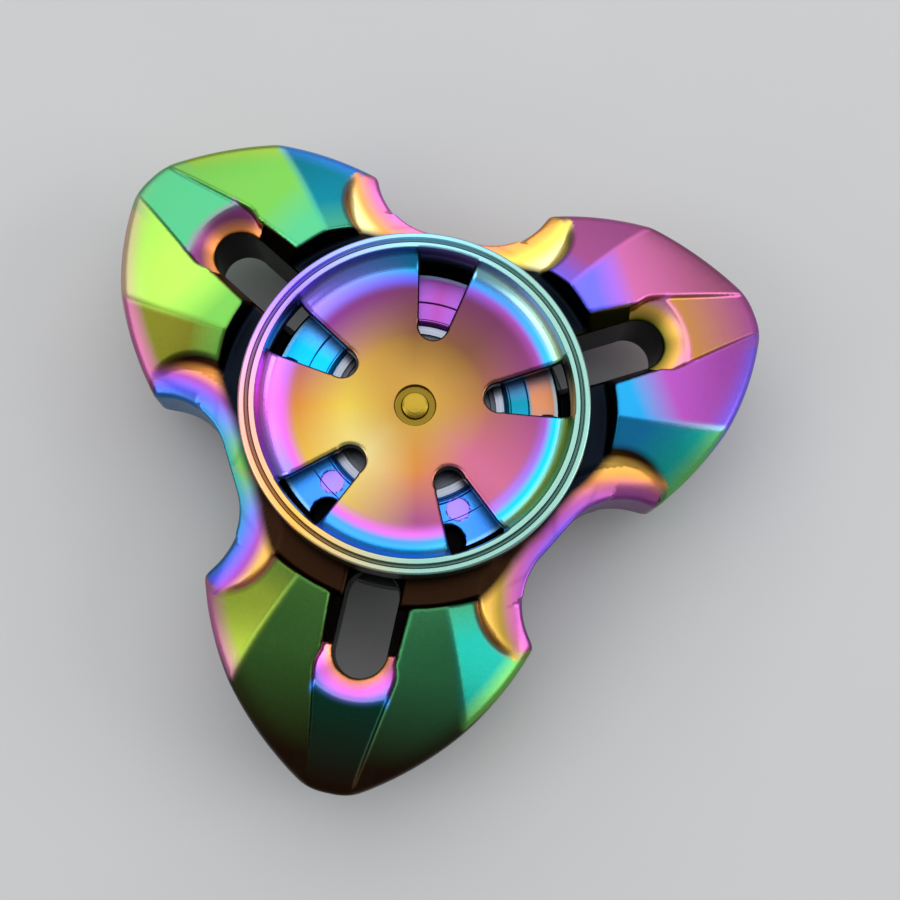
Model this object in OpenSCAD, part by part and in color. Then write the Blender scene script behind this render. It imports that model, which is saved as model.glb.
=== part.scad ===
// Three-bladed fidget spinner with dished finger caps and an R188 ball bearing.
// Millimetres, +Z up, resting on the rim of the lower cap at z = 0.
// Heights inside the modules are measured from the middle plane of the spinner.

/* [Blades] */
// Number of blades round the hub
blade_count = 3; // [3:1:3]
// Distance from the spin axis to the blade tip
tip_radius = 25.65; // [22:0.05:30]
// Half of the flat width of the blade tip
tip_half_width = 1.33; // [0.8:0.01:3]
// Radius of the curved blade flank, seen from above
flank_radius = 22.285; // [18:0.005:40]
// Radius of the dome that forms the inner panels
inner_panel_radius = 36; // [25:0.5:60]
// Rise of the inner panels towards the crease
inner_panel_tilt = 7.69; // [0:0.01:15]
// Turn of the inner panel dome about the vertical
inner_panel_turn = 26.6; // [0:0.1:40]
// Radius of the dome that forms the outer panels
outer_panel_radius = 25; // [18:0.5:60]
// Fall of the outer panels towards the valley
outer_panel_fall = 26.93; // [10:0.01:40]

/* [Channels] */
// Half width of the slot that runs through the blade
slot_half_width = 1.8; // [1:0.05:2.2]
// Distance from the spin axis to the centre of the slot's outer end
slot_outer_centre = 16.4; // [14:0.1:18]
// Distance from the spin axis to the centre of the slot's inner end
slot_inner_centre = 12.7; // [12.5:0.1:14]
// Half width of the channel at the top
channel_half_width = 2.42; // [2:0.01:3]
// Height of the through-slot edge over the middle plane
slot_edge_height = 2.4; // [1.5:0.05:3]
// Largest radius of the conical flare at the end of the slot
flare_radius = 3.66; // [2.5:0.01:4.5]
// Height of the top of the flare
flare_height = 3.5; // [3:0.05:4]

/* [Valleys] */
// Radius of the rounded corners of the valley between two blades
valley_corner_radius = 4.8; // [3:0.05:6]
// Distance from the spin axis to the valley corner centres
valley_corner_distance = 17.75; // [17:0.05:19]
// Sideways distance of the valley corner centres
valley_corner_offset = 1.66; // [0:0.01:3]
// Width of the rounded shoulder along the valley
shoulder_width = 2.8; // [2:0.1:2.9]
// Height where the rounded shoulder starts
shoulder_start = 1.0; // [0.5:0.1:2]
// Radius of the scoop at the side of each blade, on the panel
scoop_radius = 3.55; // [2.5:0.05:4]

/* [Hub] */
// Radius of the pocket that the finger cap sits in
pocket_radius = 13.4; // [12.4:0.1:14]
// Height of the pocket floor over the middle plane
floor_height = 2.6; // [2.4:0.05:3]
// Radius of the ring of core holes
core_hole_ring = 9.2; // [8.5:0.1:10]
// Radius of one core hole
core_hole_radius = 1.15; // [0.5:0.05:1.4]
// Depth of one core hole
core_hole_depth = 1.7; // [0.5:0.1:2]
// Angle of the core holes from the blade axis
core_hole_angle = 26.5; // [15:0.5:32]
// Angle of the moulding-pin discs from the blade axis
pin_mark_angle = 36; // [33:0.5:45]

/* [Caps] */
// Outer radius of a finger cap
cap_radius = 11.5; // [10.5:0.1:12]
// Height of the cap rim over the middle plane
rim_height = 6.2; // [5.5:0.1:7]
// Height of the cap's lower edge over the middle plane
cap_edge_height = 3.05; // [3:0.05:3.5]
// Height of the dish at its outer edge
dish_edge_height = 4.85; // [4.5:0.05:5.2]
// Height of the dish at its centre
dish_centre_height = 4.3; // [4:0.05:4.6]
// Radius where the dish turns up into the rim
dish_radius = 9.15; // [8.5:0.05:9.5]
// Number of slots in a cap
cap_slots = 5; // [3:1:7]
// Radius of the rounded inner end of a cap slot
cap_slot_end_radius = 1.0; // [0.6:0.05:1.4]
// Distance from the axis to the centre of that inner end
cap_slot_inner = 5.7; // [5.4:0.1:7]
// Half width of a cap slot at its outer end
cap_slot_half_width = 2.1; // [1.2:0.05:2.6]
// Distance from the axis to the outer end of a cap slot
cap_slot_outer = 10.35; // [9.5:0.05:10.4]

/* [Bearing] */
// Outer radius of the bearing
bearing_radius = 6.35; // [6.35:0.01:6.35]
// Bore radius of the bearing
bearing_bore_radius = 3.175; // [3.175:0.005:3.175]
// Width of the bearing
bearing_width = 4.76; // [4.76:0.01:4.76]
// Number of balls
ball_count = 10; // [10:1:10]
// Radius of one ball
ball_radius = 0.794; // [0.794:0.001:0.794]
// Radius of the circle the ball centres run on
ball_circle = 4.763; // [4.763:0.001:4.763]
// Radial play between a ball and its raceway
ball_play = 0.026; // [0.02:0.002:0.05]

/* [Hidden] */
middle = rim_height;
half_width = bearing_width / 2;
land_inner = 4.25;   // outside of the inner race
land_outer = 5.25;   // inside of the outer race between the shields
seat_radius = 5.62;  // inside of the outer race at its faces
seat_height = 1.7;   // where the shield rests
post_radius = bearing_bore_radius;
pin_radius = 0.9;
recess_radius = 1.4;
stud_radius = 1.4;
blade_angles = [for (k = [0 : blade_count - 1]) 30 + 360 / blade_count * k];
valley_angles = [for (a = blade_angles) a + 180 / blade_count];
cap_slot_angles = [for (k = [0 : cap_slots - 1]) 90 + 360 / cap_slots * k];
// Centre of the flank circle, so that it passes through the tip corner
flank_centre_x = 6.354;
flank_centre = [flank_centre_x,
    tip_half_width - sqrt(pow(flank_radius, 2) - pow(tip_radius - flank_centre_x, 2))];
// Points on the axes of the long cylinders whose tops form the panels
inner_panel_centre = [12.174, 0, -31.777];
outer_panel_centre = [16.07, 0, -20.33];
outer_panel_turn = -0.91;
// Round plate that joins the blades under the pocket
disc_radius = 14.6;
// Scoop cone: its middle, half of its height and how much it widens over that half
scoop_centre = [10.62, 9.75, 2.08];
scoop_half_height = 2.4;
scoop_flare = 1.9;
// Shallow floor of the channel: where it starts, along the blade and up, and its fall
run_out_start = [19.07, 0, 3.38];
run_out_fall = 15.6;
zinc = [0.75, 0.62, 0.85];
steel = [0.78, 0.79, 0.8];
$fn = 96;

// ---- helpers -------------------------------------------------------------

// Children copied to the top and, mirrored, to the underside.
module both_sides() {
    children();
    mirror([0, 0, 1]) children();
}

// Children copied to both sides of a blade or valley axis.
module both_flanks() {
    children();
    mirror([0, 1, 0]) children();
}

module round_about(angles) {
    for (a = angles) rotate([0, 0, a]) children();
}

// Points of a quarter curve from the flat start [x0, y0] to the steep end [x1, y1]:
// ((x - x0) / (x1 - x0))^n + ((y - y1) / (y0 - y1))^n = 1, flatter in its middle than an ellipse.
function quarter(x0, y0, x1, y1, n = 1.5, steps = 8) =
    [for (i = [0 : steps]) let (t = 90 * i / steps)
        [x0 + (x1 - x0) * pow(sin(t), 2 / n), y1 + (y0 - y1) * pow(cos(t), 2 / n)]];

// ---- the cast body --------------------------------------------------------

// Outline of one half of a blade, seen from above.
module half_blade_outline() {
    intersection() {
        translate(flank_centre) circle(r = flank_radius, $fn = 240);
        translate([2, 0]) square([tip_radius - 2, 20]);
    }
}

// A long cylinder lying across the blade; its top forms one panel.
module panel_dome(radius, centre, turn, tilt) {
    translate(centre) rotate([0, 0, turn]) rotate([tilt - 90, 0, 0])
        cylinder(r = radius, h = 130, center = true, $fn = 300);
}

module inner_panel() {
    panel_dome(inner_panel_radius, inner_panel_centre, inner_panel_turn, inner_panel_tilt);
}

module outer_panel() {
    panel_dome(outer_panel_radius, outer_panel_centre, outer_panel_turn, -outer_panel_fall);
}

module half_blade() {
    intersection() {
        linear_extrude(height = 14, center = true) half_blade_outline();
        inner_panel();
        outer_panel();
        mirror([0, 0, 1]) inner_panel();
        mirror([0, 0, 1]) outer_panel();
    }
}

// Through-slot, its steep side walls, the flare and the shallow floor beyond it.
module channel_cut() {
    // the slot itself, all the way through
    linear_extrude(height = 14, center = true) {
        translate([slot_inner_centre, 0]) circle(r = slot_half_width);
        translate([slot_outer_centre, 0]) circle(r = slot_half_width);
        translate([slot_inner_centre, -slot_half_width])
            square([slot_outer_centre - slot_inner_centre, 2 * slot_half_width]);
    }
    both_sides() {
        // steep walls between the pocket and the flare
        translate([slot_inner_centre - 1.5, 0, 0]) rotate([90, 0, 90])
            linear_extrude(height = slot_outer_centre - slot_inner_centre + 1.5)
                polygon([[-slot_half_width, slot_edge_height], [slot_half_width, slot_edge_height],
                    [channel_half_width, 4.2], [channel_half_width, 8],
                    [-channel_half_width, 8], [-channel_half_width, 4.2]]);
        // flare round the outer end, no wider than the channel
        intersection() {
            translate([slot_outer_centre, 0, 0]) rotate_extrude()
                polygon([[0, slot_edge_height], [slot_half_width, slot_edge_height],
                    [flare_radius, flare_height], [flare_radius, 8], [0, 8]]);
            translate([slot_outer_centre - 0.01, -channel_half_width, 0])
                cube([8, 2 * channel_half_width, 10]);
        }
        // shallow floor that runs out at the tip
        intersection() {
            linear_extrude(height = 10)
                polygon([[18.9, -2.46], [18.9, 2.46], [tip_radius + 0.5, 1.25], [tip_radius + 0.5, -1.25]]);
            translate(run_out_start) rotate([0, run_out_fall, 0])
                translate([-3, -5, 0]) cube([14, 10, 6]);
        }
    }
}

// Everything above the rounded shoulder that runs along one valley. The curve starts a little
// above the pocket floor, so that it crosses the floor instead of ending on it.
module above_shoulder() {
    edge = valley_corner_radius - 0.1;
    curve = quarter(edge + shoulder_width, floor_height + 0.1, edge, shoulder_start);
    profile = concat([[0, shoulder_start]], [for (i = [len(curve) - 1 : -1 : 0]) curve[i]],
        [[edge + shoulder_width, 3.5], [0, 3.5]]);
    both_flanks() translate([valley_corner_distance, valley_corner_offset, 0])
        rotate_extrude() polygon(profile);
    translate([valley_corner_distance, 0, 0]) rotate([90, 0, 180])
        linear_extrude(height = 2 * valley_corner_offset, center = true) polygon(profile);
}

// Slanting cone that hollows the side of a blade next to the valley.
module scoop_cone() {
    translate(scoop_centre) rotate([-outer_panel_fall, 0, 0])
        translate([0, 0, -scoop_half_height])
            cylinder(r1 = scoop_radius - scoop_flare, r2 = scoop_radius + scoop_flare,
                h = 2 * scoop_half_height);
}

module valley_outline() {
    both_flanks() translate([valley_corner_distance, valley_corner_offset])
        circle(r = valley_corner_radius, $fn = 120);
    translate([valley_corner_distance - valley_corner_radius, -valley_corner_offset])
        square([12, 2 * valley_corner_offset]);
    translate([valley_corner_distance, -valley_corner_radius - valley_corner_offset])
        square([10, 2 * (valley_corner_radius + valley_corner_offset)]);
}

// Grooves, rings and chamfer of the hub face, taken away from above.
module hub_face_cut() {
    rotate_extrude() {
        polygon([[6, 2.28], [6.35, 2.28], [6.58, 2.46], [6.58, 3], [6, 3]]);
        polygon([[6.67, 2.44], [7.87, 2.5], [7.87, 3], [6.67, 3]]);
        translate([9.9, floor_height - 0.35]) square([0.3, 1]);
    }
    round_about(blade_angles) both_flanks() {
        rotate([0, 0, core_hole_angle]) translate([core_hole_ring, 0, floor_height - core_hole_depth])
            cylinder(r = core_hole_radius, h = 3, $fn = 48);
        rotate([0, 0, pin_mark_angle]) translate([7.27, 0, 2.4])
            cylinder(r = 0.5, h = 1, $fn = 40);
    }
}

module spinner_body() {
    color(zinc) translate([0, 0, middle]) difference() {
        union() {
            round_about(blade_angles) both_flanks() half_blade();
            cylinder(r = disc_radius, h = 2 * floor_height, center = true);
        }
        cylinder(r = bearing_radius, h = 20, center = true);
        round_about(valley_angles) translate([0, 0, -10])
            linear_extrude(height = 20) valley_outline();
        round_about(blade_angles) channel_cut();
        both_sides() {
            hub_face_cut();
            // pocket and scoops, down to the floor
            translate([0, 0, floor_height]) cylinder(r = pocket_radius, h = 6);
            round_about(blade_angles) both_flanks() intersection() {
                scoop_cone();
                translate([0, 0, floor_height]) cylinder(r = 30, h = 6);
            }
            // rounded shoulders, inside the pocket and the scoops only
            round_about(valley_angles) intersection() {
                above_shoulder();
                union() {
                    translate([0, 0, 0.5]) cylinder(r = pocket_radius - 0.01, h = 6);
                    both_flanks() rotate([0, 0, -60]) scoop_cone();
                }
            }
        }
    }
}

// ---- finger caps ----------------------------------------------------------

// Section of a cap to the right of the spin axis.
module cap_section() {
    bowl = [for (i = [0 : 6]) let (r = recess_radius + (dish_radius - recess_radius) * i / 6)
        [r, dish_centre_height + (dish_edge_height - dish_centre_height) * pow(r / dish_radius, 2)]];
    band = [for (i = [1 : 7]) let (t = 78 * i / 7)
        [dish_radius + 1.28 * sin(t) / sin(78), dish_edge_height + 1.27 * (1 - cos(t)) / (1 - cos(78))]];
    polygon(concat(
        [[pin_radius, half_width], [pin_radius, dish_centre_height - 0.3],
            [recess_radius, dish_centre_height - 0.3]],
        bowl, band,
        [[10.5, 6.14], [10.78, 6.14], [10.84, 5.98], [11.04, 5.98], [11.1, rim_height],
            [cap_radius - 0.15, rim_height], [cap_radius, rim_height - 0.15],
            [cap_radius, cap_edge_height + 0.1], [cap_radius - 0.1, cap_edge_height],
            [10.65, cap_edge_height], [10.55, cap_edge_height + 0.1], [10.5, 4.5],
            [9.6, 3.95], [6, 3.35], [4.5, 3.2], [4.15, 2.95], [4.1, half_width]]));
}

module cap_slot() {
    intersection() {
        linear_extrude(height = 10) {
            translate([cap_slot_inner, 0]) circle(r = cap_slot_end_radius, $fn = 64);
            polygon([[cap_slot_inner, -cap_slot_end_radius], [cap_slot_inner, cap_slot_end_radius],
                [11, cap_slot_half_width], [11, -cap_slot_half_width]]);
        }
        cylinder(r = cap_slot_outer, h = 10);
    }
}

module cap() {
    difference() {
        rotate_extrude($fn = 180) cap_section();
        round_about(cap_slot_angles) cap_slot();
    }
}

module upper_cap() {
    color(zinc) translate([0, 0, middle]) cap();
}

module lower_cap() {
    color(zinc) translate([0, 0, middle]) mirror([0, 0, 1]) cap();
}

// ---- axle -----------------------------------------------------------------

// Pin that runs through a cap and ends in a domed, swaged head.
module post_pin() {
    rotate_extrude() polygon(concat([[0, half_width - 0.5], [pin_radius, half_width - 0.5]],
        [[pin_radius, dish_centre_height - 0.12]],
        [for (i = [1 : 5]) let (t = 90 * i / 5)
            [pin_radius * cos(t), dish_centre_height - 0.12 + 0.2 * sin(t)]]));
}

module upper_post() {
    color(steel) translate([0, 0, middle]) difference() {
        union() {
            cylinder(r = post_radius, h = half_width);
            post_pin();
        }
        translate([0, 0, -1]) cylinder(r = stud_radius, h = 2.7);
    }
}

module lower_post() {
    color(steel) translate([0, 0, middle]) {
        mirror([0, 0, 1]) {
            cylinder(r = post_radius, h = half_width);
            post_pin();
        }
        translate([0, 0, -0.5]) cylinder(r = stud_radius, h = 2);
    }
}

// ---- bearing --------------------------------------------------------------

// Round groove that the balls roll in.
module raceway() {
    rotate_extrude($fn = 120) translate([ball_circle, 0])
        circle(r = ball_radius + ball_play, $fn = 64);
}

module bearing_inner_race() {
    color(steel) translate([0, 0, middle]) difference() {
        rotate_extrude() polygon([[post_radius, -half_width], [land_inner - 0.15, -half_width],
            [land_inner, 0.15 - half_width], [land_inner, half_width - 0.15],
            [land_inner - 0.15, half_width], [post_radius, half_width]]);
        raceway();
    }
}

module bearing_outer_race() {
    color(steel) translate([0, 0, middle]) difference() {
        rotate_extrude() polygon([[land_outer, -seat_height], [seat_radius, -seat_height],
            [seat_radius, -half_width], [bearing_radius - 0.2, -half_width],
            [bearing_radius, 0.2 - half_width], [bearing_radius, half_width - 0.2],
            [bearing_radius - 0.2, half_width], [seat_radius, half_width],
            [seat_radius, seat_height], [land_outer, seat_height]]);
        raceway();
    }
}

module ball_cage() {
    color(steel) translate([0, 0, middle]) difference() {
        rotate_extrude() translate([4.5, -1.05]) square([0.5, 2.1]);
        for (k = [0 : ball_count - 1]) rotate([0, 0, 360 / ball_count * k])
            translate([ball_circle, 0, 0]) rotate([0, 90, 0])
                cylinder(r = ball_radius + 0.04, h = 3, center = true, $fn = 48);
    }
}

module shield() {
    rotate_extrude() translate([land_inner + 0.12, seat_height]) square([5.6 - land_inner - 0.12, 0.2]);
}

// Split ring that springs into the seat above the shield.
module snap_ring() {
    difference() {
        rotate_extrude() translate([5.3, seat_height + 0.2]) square([seat_radius - 5.3, 0.25]);
        translate([0, -0.4, 0]) cube([8, 0.8, 4]);
    }
}

module upper_shield() {
    color(steel) translate([0, 0, middle]) shield();
}

module lower_shield() {
    color(steel) translate([0, 0, middle]) mirror([0, 0, 1]) shield();
}

module upper_snap_ring() {
    color(steel) translate([0, 0, middle]) rotate([0, 0, 200]) snap_ring();
}

module lower_snap_ring() {
    color(steel) translate([0, 0, middle]) mirror([0, 0, 1]) rotate([0, 0, 20]) snap_ring();
}

module ball(number) {
    color(steel) translate([0, 0, middle]) rotate([0, 0, 360 / ball_count * (number - 1)])
        translate([ball_circle, 0, 0]) sphere(r = ball_radius, $fn = 48);
}

module ball_01() { ball(1); }
module ball_02() { ball(2); }
module ball_03() { ball(3); }
module ball_04() { ball(4); }
module ball_05() { ball(5); }
module ball_06() { ball(6); }
module ball_07() { ball(7); }
module ball_08() { ball(8); }
module ball_09() { ball(9); }
module ball_10() { ball(10); }

spinner_body();
upper_cap();
lower_cap();
upper_post();
lower_post();
bearing_inner_race();
bearing_outer_race();
ball_cage();
upper_shield();
lower_shield();
upper_snap_ring();
lower_snap_ring();
ball_01();
ball_02();
ball_03();
ball_04();
ball_05();
ball_06();
ball_07();
ball_08();
ball_09();
ball_10();
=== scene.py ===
"""Three-bladed fidget spinner with a rainbow coating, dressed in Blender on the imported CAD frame.

The cast body and the finger caps are smooth implicit solids: each is a formula that is negative
inside the metal, and its zero surface is meshed as whole numpy arrays. Lengths inside the shape
classes are in millimetres, measured from the middle plane of the spinner; meshes are in metres.
"""
import logging
import math
from dataclasses import dataclass, field
from enum import Enum
from typing import Callable, Optional, Sequence

import bpy
import numpy as np
from mathutils import Matrix, Vector


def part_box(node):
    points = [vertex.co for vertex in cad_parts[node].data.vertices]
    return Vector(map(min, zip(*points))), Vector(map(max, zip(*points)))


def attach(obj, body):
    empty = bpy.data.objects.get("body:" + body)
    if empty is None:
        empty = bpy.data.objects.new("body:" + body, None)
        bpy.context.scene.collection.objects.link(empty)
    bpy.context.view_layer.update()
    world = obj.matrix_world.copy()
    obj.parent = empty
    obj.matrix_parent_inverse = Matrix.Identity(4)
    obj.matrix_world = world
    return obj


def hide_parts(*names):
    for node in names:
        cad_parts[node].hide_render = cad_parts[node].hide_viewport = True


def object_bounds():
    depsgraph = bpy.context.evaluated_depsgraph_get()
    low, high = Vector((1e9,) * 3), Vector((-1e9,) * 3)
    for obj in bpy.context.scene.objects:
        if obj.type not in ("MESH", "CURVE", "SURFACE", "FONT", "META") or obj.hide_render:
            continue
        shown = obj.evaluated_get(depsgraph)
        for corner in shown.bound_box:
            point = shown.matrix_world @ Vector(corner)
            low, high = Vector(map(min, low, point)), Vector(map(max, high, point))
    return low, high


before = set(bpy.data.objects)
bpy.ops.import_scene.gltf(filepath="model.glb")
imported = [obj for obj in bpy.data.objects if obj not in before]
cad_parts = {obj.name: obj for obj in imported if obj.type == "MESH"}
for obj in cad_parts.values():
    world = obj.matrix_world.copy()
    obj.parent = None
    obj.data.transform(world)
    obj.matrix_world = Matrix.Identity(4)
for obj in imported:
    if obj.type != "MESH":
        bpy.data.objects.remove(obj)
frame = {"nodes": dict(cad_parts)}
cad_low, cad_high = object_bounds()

MM = 0.001
BLADE_ANGLES = (30.0, 150.0, 270.0)
COAT = "coat"
CHUNK = 3_000_000  # lattice numbers worked out at once
MOVES = 3          # times that each point is moved onto its surface
TINY = 1e-9        # keeps a division away from zero
log = logging.getLogger("spinner")

Field = Callable[[np.ndarray], np.ndarray]


class Part(Enum):
    """CAD bodies that the pieces ride on."""

    GRIP = "finger_grip"
    SPINNER = "spinner"


class Slot(Enum):
    """Material slots of the record."""

    CAST = "cast_body"
    CAPS = "finger_caps"
    AXLE = "axle"
    RACES = "races"
    BALLS = "bearing_balls"
    CAGE = "cage"
    SHIELDS = "shields"


# ---- implicit solids --------------------------------------------------------------------


def smooth_max(a: np.ndarray, b: np.ndarray, width: float) -> np.ndarray:
    """Rounded maximum of two fields, used to cut or intersect.

    Formula: b + (a - b) h + width h (1 - h), with h = 1/2 + (a - b) / (2 width) kept in 0..1.

    Args:
        a: First field.
        b: Second field.
        width: Distance over which the edge is rounded, in millimetres.

    Returns:
        The rounded maximum.
    """
    h = np.clip(0.5 + 0.5 * (a - b) / width, 0.0, 1.0)
    return b + (a - b) * h + width * h * (1.0 - h)


def smooth_min(a: np.ndarray, b: np.ndarray, width: float) -> np.ndarray:
    """Rounded minimum of two fields, used to join: minus the rounded maximum of the negatives."""
    return -smooth_max(-a, -b, width)


def fold(x: np.ndarray, y: np.ndarray, count: int, first: float) -> tuple[np.ndarray, np.ndarray]:
    """Turns each point into the sector of its nearest axis, out of `count` even axes.

    Formula: angle = ((atan2(y, x) - first + half) mod whole) - half, then back to x and y.

    Args:
        x: First coordinate.
        y: Second coordinate.
        count: Number of axes round the circle.
        first: Angle of the first axis in degrees.

    Returns:
        The coordinates along and across the nearest axis.
    """
    whole = 2.0 * math.pi / count
    angle = np.mod(np.arctan2(y, x) - math.radians(first) + whole / 2, whole) - whole / 2
    radius = np.hypot(x, y)
    return radius * np.cos(angle), radius * np.sin(angle)


def gradient(f: Field, p: np.ndarray, step: float = 0.004) -> np.ndarray:
    """Slope of a field by central differences, (f(p + step) - f(p - step)) / (2 step) per axis."""
    out = np.empty_like(p)
    for axis in range(3):
        offset = np.zeros(3)
        offset[axis] = step
        out[:, axis] = (f(p + offset) - f(p - offset)) / (2 * step)
    return out


@dataclass
class Skin:
    """A meshed surface: points in millimetres, unit normals and four-sided faces."""

    points: np.ndarray
    normals: np.ndarray
    faces: np.ndarray

    def mirrored(self) -> "Skin":
        """The same surface below the middle plane, with its faces turned to point outwards."""
        flip = np.array([1.0, 1.0, -1.0])
        return Skin(self.points * flip, self.normals * flip, self.faces[:, ::-1])

    def part(self, chosen: np.ndarray) -> tuple["Skin", np.ndarray]:
        """The chosen faces as a skin of their own, and the numbers of the points that they use."""
        used, faces = np.unique(self.faces[chosen], return_inverse=True)
        return Skin(self.points[used], self.normals[used], faces.reshape(-1, 4)), used


def zero_surface(f: Field, grid: np.ndarray, wraps: bool, reach: float) -> Skin:
    """Meshes the surface where a field is zero, on a lattice of points.

    Each lattice cell that the surface crosses gets one point, the mean of the crossings on its
    twelve edges; each lattice edge that is crossed joins the four cells round it into a face.
    The points are then moved onto the surface by p - f g / |g|^2, with g the gradient.

    Args:
        f: The field, negative inside.
        grid: Lattice points, shape (a, b, c, 3), in a right-handed order of axes.
        wraps: True if the second axis closes on itself, as an angle does.
        reach: Longest move of a point onto the surface, in millimetres.

    Returns:
        The meshed surface.
    """
    if wraps:
        grid = np.concatenate([grid, grid[:, :1]], axis=1)
    shape = grid.shape[:3]
    chunks = np.array_split(grid.reshape(-1, 3), max(1, grid.size // CHUNK))
    value = np.concatenate([f(chunk) for chunk in chunks]).reshape(shape)
    inside = value < 0.0
    corners = [(i, j, k) for i in (0, 1) for j in (0, 1) for k in (0, 1)]
    cells = tuple(n - 1 for n in shape)

    def corner(array: np.ndarray, c: tuple[int, int, int]) -> np.ndarray:
        """The array seen from one corner of every cell."""
        return array[c[0]:c[0] + cells[0], c[1]:c[1] + cells[1], c[2]:c[2] + cells[2]]

    count = sum(corner(inside, c).astype(np.int8) for c in corners)
    active = (count > 0) & (count < 8)
    number = np.full(cells, -1, dtype=np.int64)
    number[active] = np.arange(int(active.sum()))
    values = np.stack([corner(value, c)[active] for c in corners], axis=1)
    places = np.stack([corner(grid, c)[active] for c in corners], axis=1)
    total = np.zeros((len(values), 3))
    crossings = np.zeros(len(values))
    for a, ca in enumerate(corners):
        for b, cb in enumerate(corners):
            if b > a and sum(abs(p - q) for p, q in zip(ca, cb)) == 1:
                va, vb = values[:, a], values[:, b]
                hit = (va < 0) != (vb < 0)
                share = np.where(hit, va / np.where(hit, va - vb, 1.0), 0.0)[:, None]
                point = places[:, a] + share * (places[:, b] - places[:, a])
                total += np.where(hit[:, None], point, 0.0)
                crossings += hit
    points = total / crossings[:, None]

    faces = []
    for axis in range(3):
        low = [slice(0, n) for n in shape]
        high = [slice(0, n) for n in shape]
        low[axis], high[axis] = slice(0, shape[axis] - 1), slice(1, shape[axis])
        first, second = inside[tuple(low)], inside[tuple(high)]
        index = np.argwhere(first != second)
        u, v = (axis + 1) % 3, (axis + 2) % 3
        for other in (u, v):
            if wraps and other == 1:
                index = index[index[:, other] < cells[other]]
            else:
                index = index[(index[:, other] > 0) & (index[:, other] < cells[other])]
        outward = first[tuple(index.T)]
        ring = []
        for du, dv in ((-1, -1), (0, -1), (0, 0), (-1, 0)):
            cell = index.copy()
            cell[:, u] += du
            cell[:, v] += dv
            if wraps:
                cell[:, 1] %= cells[1]
            ring.append(number[tuple(cell.T)])
        quad = np.stack(ring, axis=1)
        faces.append(np.where(outward[:, None], quad, quad[:, ::-1]))
    faces = np.concatenate(faces)

    for _ in range(MOVES):
        slope = gradient(f, points)
        move = f(points)[:, None] * slope / np.maximum((slope ** 2).sum(1), TINY)[:, None]
        length = np.linalg.norm(move, axis=1, keepdims=True)
        points = points - move * np.minimum(1.0, reach / np.maximum(length, TINY))
    slope = gradient(f, points)
    normals = slope / np.maximum(np.linalg.norm(slope, axis=1, keepdims=True), TINY)
    return Skin(points, normals, faces)


def box_grid(half: float, height: float, step: float) -> np.ndarray:
    """Even lattice over a square plate: x and y within `half`, z within `height`."""
    across = np.linspace(-half, half, int(round(2 * half / step)) + 1)
    up = np.linspace(-height, height, int(round(2 * height / step)) + 1)
    return np.stack(np.meshgrid(across, across, up, indexing="ij"), axis=-1)


def round_grid(radii: np.ndarray, turns: int, heights: np.ndarray) -> np.ndarray:
    """Lattice in radius, angle and height: (r cos t, r sin t, z)."""
    angle = np.arange(turns) * 2 * math.pi / turns
    r, t, z = np.meshgrid(radii, angle, heights, indexing="ij")
    return np.stack([r * np.cos(t), r * np.sin(t), z], axis=-1)


def steps(*stops: float) -> np.ndarray:
    """Uneven scale: start, then pairs of (end, spacing), each stretch evenly divided."""
    out = [stops[0]]
    for end, spacing in zip(stops[1::2], stops[2::2]):
        count = max(1, int(round((end - out[-1]) / spacing)))
        out.extend(np.linspace(out[-1], end, count + 1)[1:])
    return np.array(out)


def outline_distance(r: np.ndarray, z: np.ndarray, outline: np.ndarray) -> np.ndarray:
    """Signed distance from points to a closed outline, negative inside it.

    Formula: the least distance to any side; a point is inside when a ray from it crosses an odd
    number of sides.

    Args:
        r: First coordinate of the points.
        z: Second coordinate of the points.
        outline: Corners of the outline, shape (n, 2).

    Returns:
        Signed distances.
    """
    best = np.full(r.shape, np.inf)
    odd = np.zeros(r.shape, dtype=bool)
    for (ar, az), (br, bz) in zip(outline, np.roll(outline, -1, axis=0)):
        er, ez = br - ar, bz - az
        share = np.clip(((r - ar) * er + (z - az) * ez) / (er * er + ez * ez), 0, 1)
        best = np.minimum(best, np.hypot(r - ar - share * er, z - az - share * ez))
        if az != bz:
            odd ^= ((az > z) != (bz > z)) & (r < er * (z - az) / ez + ar)
    return np.where(odd, -best, best)


# ---- meshes -----------------------------------------------------------------------------


def make_piece(name: str, skin: Skin, coat: np.ndarray, middle: float) -> bpy.types.Object:
    """Puts a skin into the scene with its own normals and coating colours.

    Args:
        name: Name of the piece.
        skin: The surface, in millimetres from the middle plane.
        coat: Linear colour of the coating at each point, shape (n, 3).
        middle: Height of the middle plane, in metres.

    Returns:
        The new object.
    """
    points = skin.points * MM + np.array([0.0, 0.0, middle])
    mesh = bpy.data.meshes.new(name)
    mesh.from_pydata(points.tolist(), [], skin.faces.tolist())
    mesh.polygons.foreach_set("use_smooth", np.ones(len(mesh.polygons), dtype=bool))
    colours = np.concatenate([coat, np.ones((len(coat), 1))], axis=1).astype(np.float32)
    mesh.attributes.new(COAT, "FLOAT_COLOR", "POINT").data.foreach_set("color", colours.ravel())
    mesh.normals_split_custom_set_from_vertices(skin.normals.tolist())
    mesh.update()
    piece = bpy.data.objects.new(name, mesh)
    bpy.context.scene.collection.objects.link(piece)
    return piece


# ---- the coating: where each colour lies ---------------------------------------------------


def linear(colour: Sequence[float]) -> tuple[float, float, float, float]:
    """A screen colour of three numbers, 0 to 1, as the linear colour that shaders use."""
    out = [c / 12.92 if c <= 0.04045 else ((c + 0.055) / 1.055) ** 2.4 for c in colour]
    return (*out, 1.0)


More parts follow.
